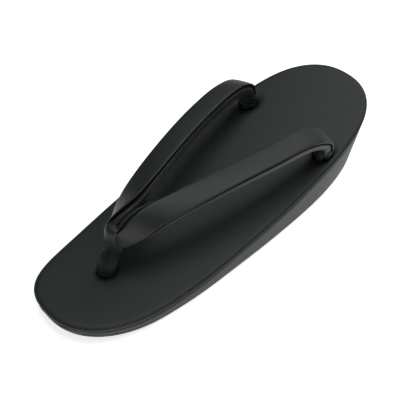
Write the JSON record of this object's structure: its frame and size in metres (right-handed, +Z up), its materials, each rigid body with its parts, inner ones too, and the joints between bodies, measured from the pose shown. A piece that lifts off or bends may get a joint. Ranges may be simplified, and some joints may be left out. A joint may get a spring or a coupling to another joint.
{
  "type": "zori sandal",
  "caption": "Wedge zori sandal with a padded top board and a V-shaped strap held by a toe thong, for the left foot.",
  "frame": {"origin": "on the floor, under the middle of the footprint's bounding box", "axes": "+Y from toe to heel, +X towards the wearer's outer side, +Z up"},
  "size_m": [0.0808, 0.24, 0.0611],
  "materials": {
    "leather": "smooth matte black synthetic leather",
    "strap_leather": "smooth matte black synthetic leather over padding",
    "velvet": "black velvet cloth",
    "rubber": "matte black rubber sheet"
  },
  "bodies": {
    "root": {"outsole": "rubber", "platform": "leather", "insole": "leather", "straps": "strap_leather", "toe_thong": "velvet", "strap_root_inner": "velvet", "strap_root_outer": "velvet"}
  },
  "joints": []
}
